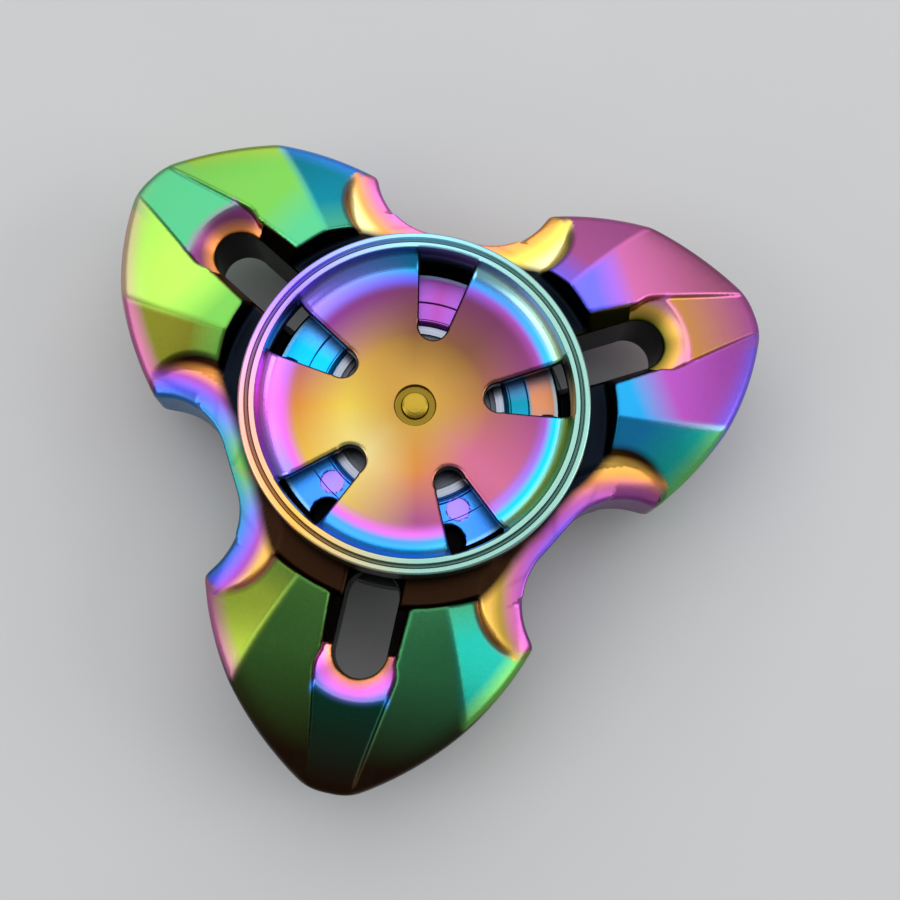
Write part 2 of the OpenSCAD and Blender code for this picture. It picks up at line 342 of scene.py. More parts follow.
class Tint(Enum):
    """Colours that the coating turns through, as screen colours."""

    CREAM = (0.96, 0.90, 0.62)
    SUN = (0.97, 0.86, 0.36)
    GOLD = (0.84, 0.65, 0.31)
    HONEY = (0.60, 0.50, 0.17)
    BRONZE = (0.56, 0.39, 0.23)
    ORANGE = (0.90, 0.57, 0.28)
    COPPER = (0.71, 0.50, 0.22)
    AMBER = (0.72, 0.46, 0.33)
    BLUSH = (0.84, 0.62, 0.62)
    ROSE = (0.86, 0.46, 0.60)
    WINE = (0.66, 0.35, 0.48)
    PLUM = (0.50, 0.26, 0.40)
    MAUVE = (0.64, 0.32, 0.54)
    PINK = (0.69, 0.36, 0.56)
    ORCHID = (0.86, 0.42, 0.86)
    PURPLE = (0.60, 0.28, 0.62)
    VIOLET = (0.58, 0.48, 0.97)
    INDIGO = (0.38, 0.38, 0.93)
    BLUE = (0.24, 0.54, 0.93)
    AZURE = (0.06, 0.70, 0.95)
    LAGOON = (0.13, 0.54, 0.74)
    SKY = (0.54, 0.76, 0.84)
    MIST = (0.50, 0.66, 0.62)
    TEAL = (0.07, 0.50, 0.58)
    AQUA = (0.12, 0.66, 0.60)
    JADE = (0.09, 0.50, 0.45)
    ICE = (0.74, 0.96, 0.90)
    MINT = (0.30, 0.66, 0.46)
    SPRING = (0.41, 0.66, 0.28)
    FERN = (0.20, 0.44, 0.28)
    GREEN = (0.40, 0.70, 0.38)
    LIME = (0.62, 0.82, 0.32)
    BRASS = (0.59, 0.66, 0.22)
    OLIVE = (0.37, 0.37, 0.11)
    MOSS = (0.26, 0.43, 0.20)
    PINE = (0.07, 0.25, 0.19)
    # Cocoa is partly a coating colour and partly painted shade on walls, scoops, pockets and the cap's
    # slot walls.
    COCOA = (0.15, 0.09, 0.05)
    # The next two near-blacks are painted shade, laid where shade falls: pockets, slots, walls, the gap
    # round the cap and faces turned down.
    SHADE_NAVY = (0.05, 0.07, 0.10)
    SHADE_BLACK = (0.02, 0.02, 0.02)

    @property
    def light(self) -> np.ndarray:
        """The tint as a linear colour."""
        return np.array(linear(self.value)[:3])


def shades(value: np.ndarray, stops: Sequence[float], tints: Sequence[Tint],
           period: Optional[float] = None) -> np.ndarray:
    """Colours along a scale of tints, each channel in straight lines between its stops.

    Args:
        value: Places on the scale.
        stops: Places of the tints.
        tints: The tints.
        period: Length after which the scale repeats, if it does.

    Returns:
        Linear colours, shape (n, 3).
    """
    table = np.array([tint.light for tint in tints])
    return np.stack([np.interp(value, stops, table[:, c], period=period) for c in range(3)], axis=1)


def mixed(a: np.ndarray, b: np.ndarray, share: np.ndarray) -> np.ndarray:
    """Straight mix of two colour arrays: a (1 - share) + b share, with share kept in 0..1."""
    share = np.clip(np.atleast_1d(share), 0.0, 1.0)[:, None]
    return a * (1.0 - share) + b * share


@dataclass(frozen=True)
class FlankPaint:
    """Coating of one side of a blade and of the half valley beside it.

    Attributes:
        inner: Inner panel, at the pocket, half way out and at the tip.
        rim: Edge of the inner panel along the outline.
        outer: Outer panel, at the outline, a little in from it and at the crease.
        wall: Channel wall on this side; its dark tints are painted shade.
        scoop: Hollowed wall beside the valley, mixed further towards black in paint_flank as painted
            shade.
        shoulder: Rounded shoulder of the valley, from its top to the rim.
    """

    inner: tuple[Tint, Tint, Tint]
    rim: Tint
    outer: tuple[Tint, Tint, Tint]
    wall: Tint
    scoop: Tint
    shoulder: tuple[Tint, Tint, Tint, Tint]


@dataclass(frozen=True)
class BladePaint:
    """Coating of one blade: its two sides, its channel floor and flare from the slot outwards."""

    clockwise: FlankPaint
    counter: FlankPaint
    floor: tuple[Tint, Tint]
    flare: tuple[Tint, Tint, Tint]
    # pocket: tint of the painted shade in the pocket and the gap round the cap.
    pocket: Tint


BLADE_PAINT = (
    BladePaint(
        clockwise=FlankPaint(
            inner=(Tint.LAGOON, Tint.PURPLE, Tint.PURPLE), rim=Tint.INDIGO,
            outer=(Tint.GREEN, Tint.AQUA, Tint.LAGOON), wall=Tint.SHADE_NAVY, scoop=Tint.COCOA,
            shoulder=(Tint.GOLD, Tint.ORANGE, Tint.PINK, Tint.PURPLE)),
        counter=FlankPaint(
            inner=(Tint.INDIGO, Tint.PINK, Tint.WINE), rim=Tint.PLUM,
            outer=(Tint.MAUVE, Tint.MAUVE, Tint.MAUVE), wall=Tint.OLIVE, scoop=Tint.OLIVE,
            shoulder=(Tint.CREAM, Tint.SUN, Tint.GOLD, Tint.ORANGE)),
        floor=(Tint.COPPER, Tint.MAUVE), flare=(Tint.OLIVE, Tint.GOLD, Tint.ORCHID), pocket=Tint.SHADE_NAVY),
    BladePaint(
        clockwise=FlankPaint(
            inner=(Tint.MINT, Tint.SPRING, Tint.SPRING), rim=Tint.BRASS,
            outer=(Tint.BLUE, Tint.TEAL, Tint.TEAL), wall=Tint.COCOA, scoop=Tint.BRONZE,
            shoulder=(Tint.CREAM, Tint.ORANGE, Tint.ROSE, Tint.ORCHID)),
        counter=FlankPaint(
            inner=(Tint.SPRING, Tint.LIME, Tint.LIME), rim=Tint.BLUSH,
            outer=(Tint.PINK, Tint.OLIVE, Tint.OLIVE), wall=Tint.BRONZE, scoop=Tint.COCOA,
            shoulder=(Tint.ORANGE, Tint.PURPLE, Tint.INDIGO, Tint.LAGOON)),
        floor=(Tint.MINT, Tint.MINT), flare=(Tint.ORANGE, Tint.PLUM, Tint.PURPLE), pocket=Tint.SHADE_NAVY),
    # The third blade's dark tints are partly its coating's colour and partly painted shade, as that
    # blade faces away from the light.
    BladePaint(
        clockwise=FlankPaint(
            inner=(Tint.MOSS, Tint.MOSS, Tint.COCOA), rim=Tint.COCOA,
            outer=(Tint.PINK, Tint.BRASS, Tint.BRASS), wall=Tint.COCOA, scoop=Tint.AMBER,
            shoulder=(Tint.GOLD, Tint.PURPLE, Tint.INDIGO, Tint.TEAL)),
        counter=FlankPaint(
            inner=(Tint.FERN, Tint.FERN, Tint.COCOA), rim=Tint.COCOA,
            outer=(Tint.SPRING, Tint.JADE, Tint.JADE), wall=Tint.COCOA, scoop=Tint.BRONZE,
            shoulder=(Tint.GOLD, Tint.HONEY, Tint.PINK, Tint.PURPLE)),
        floor=(Tint.PINE, Tint.COCOA), flare=(Tint.ORANGE, Tint.ORCHID, Tint.BLUE), pocket=Tint.COCOA),
)
# Middle of each valley, from the top of its shoulder to the rim.
VALLEY_PAINT = (
    (Tint.GOLD, Tint.ORANGE, Tint.ORANGE, Tint.ROSE),
    (Tint.INDIGO, Tint.JADE, Tint.SPRING, Tint.TEAL),
    (Tint.GOLD, Tint.PINK, Tint.PURPLE, Tint.INDIGO),
)


@dataclass
class CastBody:
    """The one-piece cast body: three blades, round pocket, scooped valleys and ringed hub."""

    # Outline of a blade: a short straight tip between two arcs.
    tip_radius: float = 25.65
    tip_half_width: float = 1.33
    flank_radius: float = 22.285
    flank_centre_x: float = 6.354
    # Panels: radius, centre along the blade, centre height, turn and tilt in degrees.
    inner_dome: tuple[float, float, float, float, float] = (36.0, 12.174, -31.777, 26.6, 7.69)
    outer_dome: tuple[float, float, float, float, float] = (25.0, 16.07, -20.33, -0.91, -26.93)
    # Round middle, pocket and hub.
    disc_radius: float = 14.6
    floor_height: float = 2.6
    pocket_radius: float = 13.4
    hub_radius: float = 10.05
    # Slot, its leaning walls and the cone that flares from its outer end.
    slot_half_width: float = 1.8
    slot_ends: tuple[float, float] = (12.7, 16.4)
    slot_edge_height: float = 2.4
    channel_half_width: float = 2.42
    wall_rise: float = 1.8
    flare_radius: float = 3.66
    flare_height: float = 3.5
    # Shallow channel: where it starts, a point of its floor (along, height), the floor's fall in
    # degrees, and its edge, which widens from a place and narrows through a place and half width.
    channel_start: float = 17.6
    floor_point: tuple[float, float] = (19.07, 3.38)
    floor_fall: float = 15.6
    widening: tuple[float, float] = (16.9, 0.32)
    narrowing: tuple[float, float, float] = (18.9, 2.46, 0.1669)
    # Valley between two blades and its rounded shoulder.
    valley_radius: float = 4.8
    valley_centre: tuple[float, float] = (17.75, 1.66)
    shoulder_width: float = 2.8
    shoulder_bend: float = 1.5
    shoulder_start: float = 1.0
    shoulder_lip: float = 0.1
    # Scoop in the side of a blade, a leaning cone.
    scoop_centre: tuple[float, float, float] = (10.62, 9.75, 2.08)
    scoop_radius: float = 3.55
    scoop_flare: float = 0.79
    # Top of the hub as (radius, height): chamfer, inner ring, groove, outer ring and step down.
    hub_top: tuple[tuple[float, float], ...] = (
        (6.35, 2.28), (6.47, 2.38), (6.50, 2.56), (6.60, 2.56), (6.66, 2.42),
        (7.82, 2.48), (7.88, 2.59), (9.84, 2.59), (9.90, 2.28), (10.2, 2.28))
    # Marks of casting on the hub: discs of the moulding pins, each ringed by a fine line of a depth
    # and a width, and core holes.
    pin_ring: float = 7.35
    pin_angle: float = 36.0
    pin_disc: float = 0.85
    pin_line: tuple[float, float] = (0.03, 0.055)
    core_ring: float = 9.2
    core_angle: float = 26.5
    core_radius: float = 1.15
    core_bottom: float = 0.9
    # Widths over which edges and corners are rounded.
    tip_round: float = 0.5
    crease_round: float = 0.12
    edge_round: float = 0.60
    cut_round: float = 0.30
    bed_round: float = 0.45
    edge_join: float = 0.25
    wall_round: float = 0.2
    flare_round: float = 0.12
    slot_round: float = 0.1
    hole_round: float = 0.12
    # Lattice for the blades.
    lattice_step: float = 0.145
    lattice_half: float = 26.4
    lattice_height: float = 5.6
    # Softness of the borders between colours, and the places where the tints of each scale stand.
    soft: float = 0.11
    panel_soft: float = 0.07
    side_soft: float = 0.12
    inner_stops: tuple[float, float, float] = (14.2, 17.0, 23.5)
    outer_stops: tuple[float, float, float] = (0.2, 1.5, 4.5)
    shoulder_stops: tuple[float, float, float, float] = (0.15, 0.4, 0.7, 1.0)
    floor_stops: tuple[float, float] = (19.5, 25.0)
    flare_stops: tuple[float, float, float] = (1.9, 2.7, 3.6)

    @staticmethod
    def dome(x: np.ndarray, y: np.ndarray, z: np.ndarray,
             spec: tuple[float, float, float, float, float]) -> np.ndarray:
        """Signed distance to a long cylinder that crosses the blade and forms a panel.

        Formula: |w| - radius, with w the part of (p - centre) square to the cylinder's axis.

        Args:
            x: Distance along the blade.
            y: Distance across the blade.
            z: Height over the middle plane.
            spec: Radius, centre along the blade, centre height, turn and tilt in degrees.

        Returns:
            Signed distances.
        """
        radius, cx, cz, turn, tilt = spec
        turn, tilt = math.radians(turn), math.radians(tilt)
        ax = -math.sin(turn) * math.cos(tilt)
        ay = math.cos(turn) * math.cos(tilt)
        az = math.sin(tilt)
        dx, dz = x - cx, z - cz
        along = dx * ax + y * ay + dz * az
        return np.sqrt((dx - along * ax) ** 2 + (y - along * ay) ** 2 + (dz - along * az) ** 2) - radius

    def parts(self, p: np.ndarray) -> dict[str, np.ndarray]:
        """Every simple field that the body is put together from, at the given points.

        Args:
            p: Points in millimetres, shape (n, 3).

        Returns:
            Fields by name, together with the folded coordinates.
        """
        x, y = fold(p[:, 0], p[:, 1], 3, BLADE_ANGLES[0])
        side = np.sign(y)
        y, z = np.abs(y), np.abs(p[:, 2])
        r = np.hypot(x, y)
        out: dict[str, np.ndarray] = {"x": x, "y": y, "z": z, "r": r, "side": side}
        centre_y = self.tip_half_width - math.sqrt(
            self.flank_radius ** 2 - (self.tip_radius - self.flank_centre_x) ** 2)
        out["flank"] = np.hypot(x - self.flank_centre_x, y - centre_y) - self.flank_radius
        out["tip"] = x - self.tip_radius
        out["inner"] = self.dome(x, y, z, self.inner_dome)
        out["outer"] = self.dome(x, y, z, self.outer_dome)
        half = math.radians(60.0)
        along = x * math.cos(half) + y * math.sin(half)
        across = np.abs(y * math.cos(half) - x * math.sin(half))
        out["valley"] = np.hypot(np.minimum(along - self.valley_centre[0], 0.0),
                                 np.maximum(across - self.valley_centre[1], 0.0))
        out["across_valley"], out["along_valley"] = across, along
        near, far = self.slot_ends
        beyond = np.maximum(np.maximum(near - x, x - far), 0.0)
        out["slot"] = np.hypot(beyond, y) - self.slot_half_width
        lean = (self.channel_half_width - self.slot_half_width) / self.wall_rise
        out["wall"] = (y - self.slot_half_width
                       - (z - self.slot_edge_height) * lean) / math.hypot(1, lean)
        spread = (self.flare_radius - self.slot_half_width) / (self.flare_height - self.slot_edge_height)
        out["flare"] = (np.hypot(x - far, y) - self.slot_half_width
                        - (z - self.slot_edge_height) * spread) / math.hypot(1, spread)
        floor_x, floor_z = self.floor_point
        fall = math.radians(self.floor_fall)
        out["floor"] = (floor_z - math.tan(fall) * (x - floor_x) - z) * math.cos(fall)
        place, half_width, slope = self.narrowing
        narrower = half_width - slope * (x - place)
        wider = self.channel_half_width + self.widening[1] * np.maximum(x - self.widening[0], 0.0)
        out["channel_edge"] = (y - smooth_min(narrower, wider, self.edge_join)) / math.hypot(1, slope)
        cx, cy, cz = self.scoop_centre
        tilt = math.radians(-self.outer_dome[4])
        u, v, w = x - cx, y - cy, z - cz
        flat = v * math.cos(tilt) - w * math.sin(tilt)
        depth = v * math.sin(tilt) + w * math.cos(tilt)
        out["scoop"] = (np.hypot(u, flat) - self.scoop_radius - self.scoop_flare * depth) / math.hypot(
            1, self.scoop_flare)
        rise = self.floor_height + self.shoulder_lip - self.shoulder_start
        edge = self.valley_radius - self.shoulder_lip
        sink = np.clip((edge + self.shoulder_width - out["valley"]) / self.shoulder_width, 0.0, 1.6)
        lift = np.maximum(z - self.shoulder_start, 0.0) / rise
        bend = self.shoulder_bend
        out["sink"] = sink
        over = (1.0 - (sink ** bend + lift ** bend) ** (1.0 / bend)) * rise
        out["shoulder"] = np.maximum(over, self.floor_height - z)
        return out

    def channel(self, q: dict[str, np.ndarray]) -> np.ndarray:
        """Field of the slot, its leaning walls, the flare and the shallow floor, joined softly."""
        far = self.slot_ends[1]
        walls = np.maximum(q["wall"], q["x"] - far)
        flare = np.maximum(smooth_max(q["flare"], q["channel_edge"], self.wall_round), far - q["x"])
        floor = np.maximum(smooth_max(q["floor"], q["channel_edge"], self.wall_round),
                           self.channel_start - q["x"])
        shallow = smooth_min(flare, floor, self.flare_round)
        return smooth_min(np.minimum(q["slot"], walls), shallow, self.slot_round)

    def blades(self, p: np.ndarray) -> np.ndarray:
        """Field of the whole casting outside the hub ring.

        Formula: max(min(max(outline, panels), disc), -valley, -channel, -(pocket or scoop)),
        with every max and min rounded.

        Args:
            p: Points in millimetres.

        Returns:
            Field values, negative inside the metal.
        """
        q = self.parts(p)
        outline = smooth_max(q["flank"], q["tip"], self.tip_round)
        panels = smooth_max(q["inner"], q["outer"], self.crease_round)
        blade = smooth_max(outline, panels, self.edge_round)
        disc = np.maximum(q["r"] - self.disc_radius, q["z"] - self.floor_height)
        solid = smooth_min(blade, disc, self.cut_round)
        solid = smooth_max(solid, self.valley_radius - q["valley"], self.cut_round)
        solid = smooth_max(solid, -self.channel(q), self.cut_round)
        hollow = smooth_min(q["r"] - self.pocket_radius, q["scoop"], self.cut_round)
        solid = smooth_max(solid, -smooth_max(q["shoulder"], hollow, self.bed_round), self.cut_round)
        return np.maximum(solid, self.hub_radius - q["r"])

    def hub(self, p: np.ndarray) -> np.ndarray:
        """Field of the ringed hub round the bearing.

        Formula: max(|z| - top(r), inner radius - r, r - outer radius), less the core holes, where
        top(r) steps down for the chamfer, the inner ring and the groove, and a fine circular
        line marks each moulding pin.

        Args:
            p: Points in millimetres.

        Returns:
            Field values, negative inside the metal.
        """
        x, y = fold(p[:, 0], p[:, 1], 3, BLADE_ANGLES[0])
        y, z = np.abs(y), np.abs(p[:, 2])
        r = np.hypot(x, y)
        top = np.interp(r, *zip(*self.hub_top))
        line_depth, line_width = self.pin_line
        pin = math.radians(self.pin_angle)
        from_pin = np.hypot(x - self.pin_ring * math.cos(pin), y - self.pin_ring * math.sin(pin))
        top = top - line_depth * np.exp(-((from_pin - self.pin_disc) / line_width) ** 2)
        hole = math.radians(self.core_angle)
        from_hole = np.hypot(x - self.core_ring * math.cos(hole),
                             y - self.core_ring * math.sin(hole)) - self.core_radius
        steepness = 0.7  # brings the top's field down to a true distance on its steep steps
        solid = np.maximum(np.maximum((z - top) * steepness, bearing_radius() - r), r - self.hub_radius)
        return smooth_max(solid, -np.maximum(from_hole, self.core_bottom - z), self.hole_round)

    def paint_flank(self, q: dict[str, np.ndarray], blade: BladePaint, flank: FlankPaint,
                    middle: Sequence[Tint]) -> np.ndarray:
        """Coating over one side of a blade and the half valley beside it.

        Formula: the mean of the surfaces' own colours, each with weight exp(-(d / s)^2 / 2), where d
        is the distance to that surface and s the softness of its border. A surface that does not
        reach a region has no weight there, and hardly any on the valley's bed and rim.

        Args:
            q: Fields of `parts` at the points of this side.
            blade: Paint of the blade.
            flank: Paint of this side.
            middle: Tints at the middle of the valley.

        Returns:
            Linear colours.
        """
        reach, cut_reach, slack = 0.2, 0.25, 0.1  # how far past its border each region is taken
        slot_start, floor_start, valley_start = 11.5, 18.0, 9.0
        far = self.slot_ends[1]
        from_outline = -np.maximum(q["flank"], q["tip"])
        hollow = np.minimum(q["r"] - self.pocket_radius, q["scoop"])
        on_panel = (hollow > -reach) & (self.channel(q) > -cut_reach)
        in_hollow = (hollow < reach) & (q["valley"] > self.valley_radius - reach)
        in_channel = (q["y"] < self.channel_half_width + 1.5 * slack) & (q["x"] > slot_start)
        above_edge = in_channel & (q["z"] > self.slot_edge_height - slack)
        in_valley = q["along_valley"] > valley_start

        def even(tint: Tint) -> np.ndarray:
            """One tint at every point."""
            return np.broadcast_to(tint.light, (len(q["x"]), 3))

        # Inner panel, and the outer panel, which takes the inner one's colour beside the pocket.
        rim_width, rim_strength = 0.9, 0.7
        at_rim = np.exp(-(np.maximum(from_outline - reach, 0) / rim_width) ** 2)
        inner = shades(q["x"], self.inner_stops, flank.inner)
        inner = mixed(inner, flank.rim.light, rim_strength * at_rim)
        pocket_share, pocket_fade = 0.8, 3.0
        outer = shades(from_outline, self.outer_stops, flank.outer)
        outer = mixed(outer, flank.inner[0].light,
                      pocket_share - (q["r"] - self.pocket_radius) / pocket_fade)

        # Sides of the blade, darkened below its top as painted shade, and of one colour at the tip.
        side_shade, turn_start, turn_length, tip_width, tip_start = 0.7, 17.5, 2.0, 0.9, 20.0
        side = mixed(even(flank.outer[0]), flank.rim.light, (q["x"] - turn_start) / turn_length)
        tip = (blade.clockwise.rim.light + blade.counter.rim.light) / 2
        at_tip = np.exp(-(q["y"] / tip_width) ** 2) * (q["x"] > tip_start)
        side = mixed(side, tip, at_tip) * side_shade

        # Bed of the valley, with painted shade in the gap round the cap, and the valley's rim wall
        # darkened as painted shade.
        middle_width, rim_shade, gap_fade, gap_share = 3.0, 0.55, 0.7, 0.4
        down = mixed(shades(q["sink"], self.shoulder_stops, flank.shoulder),
                     shades(q["sink"], self.shoulder_stops, middle),
                     np.exp(-(q["across_valley"] / middle_width) ** 2))
        off_axis = np.degrees(np.arctan2(q["across_valley"], q["along_valley"]))
        gap = 12.0 + 0.35 * np.clip((off_axis - 8.0) / 7.0, 0, 1) + 0.1 * np.clip(off_axis - 15.0, 0, 25)
        bed = mixed(down, even(blade.pocket), (gap - q["r"]) / gap_fade + gap_share)
        rim = down * rim_shade

        ring = np.hypot(q["x"] - far, q["y"])
        floor = shades(q["x"], self.floor_stops, blade.floor)
        flare = shades(ring, self.flare_stops, blade.flare)
        # The scoop's wall is mixed towards black: painted shade.
        scoop = mixed(even(flank.scoop), Tint.SHADE_BLACK.light, 0.35)
        layers = (
            (q["inner"], self.panel_soft, on_panel, inner),
            (q["outer"], self.panel_soft, on_panel, outer),
            (from_outline, self.side_soft, on_panel & (q["valley"] > self.valley_radius), side),
            (self.valley_radius - q["valley"], self.soft, in_valley, rim),
            # Painted shade: the walls of the through slot are black.
            (q["slot"], self.soft, q["z"] < self.slot_edge_height + slack, even(Tint.SHADE_BLACK)),
            (q["wall"], self.soft, above_edge & (q["x"] < far + slack), even(flank.wall)),
            (q["flare"], self.soft, above_edge & (q["x"] > far - slack), flare),
            (q["floor"], self.soft, in_channel & (q["x"] > floor_start), floor),
            # Painted shade: the pocket's wall takes the blade's dark pocket tint.
            (q["r"] - self.pocket_radius, self.soft, q["z"] > self.floor_height - slack,
             even(blade.pocket)),
            (q["scoop"], self.soft, q["z"] > self.shoulder_start, scoop),
            (q["shoulder"] * 0.6, self.soft, in_hollow, bed),
        )
        most = 0.97  # share of the other colours that the bed and the rim drive out
        on_bed = np.where(in_hollow, np.exp(-0.5 * (q["shoulder"] / self.soft) ** 2), 0.0)
        on_rim = np.exp(-0.5 * ((self.valley_radius - q["valley"]) / self.soft) ** 2) * in_valley
        total = np.zeros((len(q["x"]), 3))
        weights = np.full(len(q["x"]), 1e-30)
        for distance, softness, region, colour in layers:
            away = np.minimum(np.abs(distance) / softness, 9.0)
            weight = np.where(region, np.exp(-0.5 * away ** 2), 0.0)
            if colour is not bed:
                weight = weight * (1.0 - most * on_bed)
                if colour is not rim:
                    weight = weight * (1.0 - most * on_rim)
            total += weight[:, None] * colour
            weights += weight
        cap_shade, shade_radius, shade_width = 0.9, 11.9, 0.7
        under_cap = np.clip((shade_radius - q["r"]) / shade_width, 0.0, 1.0)
        return mixed(total / weights[:, None], Tint.SHADE_BLACK.light, cap_shade * under_cap)

    def paint_blades(self, skin: Skin) -> np.ndarray:
        """Coating of the whole casting: each side of each blade from its own paint."""
        p = skin.points
        q = self.parts(p)
        angle = np.degrees(np.arctan2(p[:, 1], p[:, 0]))
        blade = np.round((angle - BLADE_ANGLES[0]) / 120.0).astype(int) % 3
        colour = np.zeros((len(p), 3))
        for b, paint in enumerate(BLADE_PAINT):
            for counter, flank in ((False, paint.clockwise), (True, paint.counter)):
                here = (blade == b) & ((q["side"] >= 0) == counter)
                valley = b if counter else (b - 1) % 3
                values = {key: value[here] for key, value in q.items()}
                colour[here] = self.paint_flank(values, paint, flank, VALLEY_PAINT[valley])
        return colour

    def paint_hub(self, skin: Skin) -> np.ndarray:
        """Coating of the hub: blue to violet round the ring, violet pin discs, a painted highlight on
        the outer edge of its top, and painted shade past that edge and below its top, as in the holes.
        """
        p = skin.points
        angle = np.degrees(np.arctan2(p[:, 1], p[:, 0]))
        r = np.hypot(p[:, 0], p[:, 1])
        tan_angle, tan_spread, tan_radius = 18.0, 16.0, 7.9
        colour = shades(angle, (tan_angle, 54, 90, 130, 162, 234, 306), (
            Tint.TEAL, Tint.VIOLET, Tint.PURPLE, Tint.VIOLET, Tint.AZURE, Tint.BLUE, Tint.BLUE), 360.0)
        tan = np.exp(-((angle - tan_angle) / tan_spread) ** 2) * np.clip((r - tan_radius) / 0.2, 0, 1)
        colour = mixed(colour, Tint.AMBER.light, tan)
        x, y = fold(p[:, 0], p[:, 1], 3, BLADE_ANGLES[0])
        pin = math.radians(self.pin_angle)
        from_pin = np.hypot(x - self.pin_ring * math.cos(pin), np.abs(y) - self.pin_ring * math.sin(pin))
        colour = mixed(colour, Tint.VIOLET.light, (self.pin_disc - from_pin) / 0.08)
        # Painted highlight: a pale sky ring at the outer edge of the top. Painted shade: black past that
        # edge and on every face below the top.
        highlight_edge, shade_edge, shadow = (9.55, 9.85), 9.86, 2.3
        edge = np.clip((r - highlight_edge[0]) / 0.15, 0, 1) * np.clip((highlight_edge[1] - r) / 0.05, 0, 1)
        colour = mixed(colour, Tint.SKY.light, 0.7 * edge)
        colour = mixed(colour, Tint.SHADE_BLACK.light, (r - shade_edge) / 0.04)
        return mixed(colour, Tint.SHADE_BLACK.light, (shadow - np.abs(p[:, 2])) / 0.3)

    def build(self, middle: float) -> list[bpy.types.Object]:
        """Meshes the casting as three blades, which share their borders, and a finer hub ring.

        Args:
            middle: Height of the middle plane, in metres.

        Returns:
            The three blades and the hub.
        """
        lattice = box_grid(self.lattice_half, self.lattice_height, self.lattice_step)
        skin = zero_surface(self.blades, lattice, False, self.lattice_step)
        coat = self.paint_blades(skin)
        centre = skin.points[skin.faces].mean(axis=1)
        turn = np.degrees(np.arctan2(centre[:, 1], centre[:, 0])) - BLADE_ANGLES[0]
        nearest = np.round(turn / 120.0).astype(int) % 3
        pieces = []
        for b in range(3):
            blade, used = skin.part(nearest == b)
            pieces.append(make_piece(f"cast_blade_{b + 1}", blade, coat[used], middle))
        radii = steps(6.25, 6.7, 0.055, 7.75, 0.11, 7.95, 0.05, 9.8, 0.11, 10.2, 0.06)
        heights = steps(-2.75, -2.05, 0.08, 2.05, 0.42, 2.75, 0.08)
        skin = zero_surface(self.hub, round_grid(radii, 480, heights), True, 0.08)
        pieces.append(make_piece("cast_hub", skin, self.paint_hub(skin), middle))
        return pieces


def bearing_radius() -> float:
    """Outer radius of the bearing in millimetres, from the CAD node."""
    return float(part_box("bearing_outer_race")[1][0]) / MM


# Rings of the finger cap: tints at eight bearings from the centre outwards, the radius where each
# ring after the first starts to show, and the width over which it takes over.
# The sun and cream tints at 193 and 238 degrees in the second ring, and the sun at 238 degrees in the
# third, are a painted highlight.
CAP_RINGS = (
    (Tint.GOLD,) * 8,
    (Tint.AMBER, Tint.BRONZE, Tint.BRONZE, Tint.GOLD, Tint.SUN, Tint.CREAM, Tint.ORANGE, Tint.ROSE),
    (Tint.MAUVE, Tint.PLUM, Tint.PLUM, Tint.PURPLE, Tint.ORANGE, Tint.SUN, Tint.PINK, Tint.ROSE),
    (Tint.PURPLE, Tint.PURPLE, Tint.INDIGO, Tint.VIOLET, Tint.ORCHID, Tint.ORCHID, Tint.ORCHID,
     Tint.VIOLET),
    (Tint.AZURE, Tint.BLUE, Tint.LAGOON, Tint.VIOLET, Tint.ORCHID, Tint.BLUE, Tint.BLUE, Tint.AZURE),
    (Tint.LIME, Tint.ICE, Tint.LAGOON, Tint.VIOLET, Tint.ORCHID, Tint.BLUE, Tint.AZURE, Tint.LIME),
    (Tint.MIST, Tint.MIST, Tint.SKY, Tint.VIOLET, Tint.BLUSH, Tint.GOLD, Tint.MIST, Tint.MIST),
)
CAP_RADII = (1.5, 4.4, 8.0, 8.75, 9.4, 10.35)
CAP_WIDTHS = (3.5, 3.4, 0.7, 0.5, 0.6, 0.15)


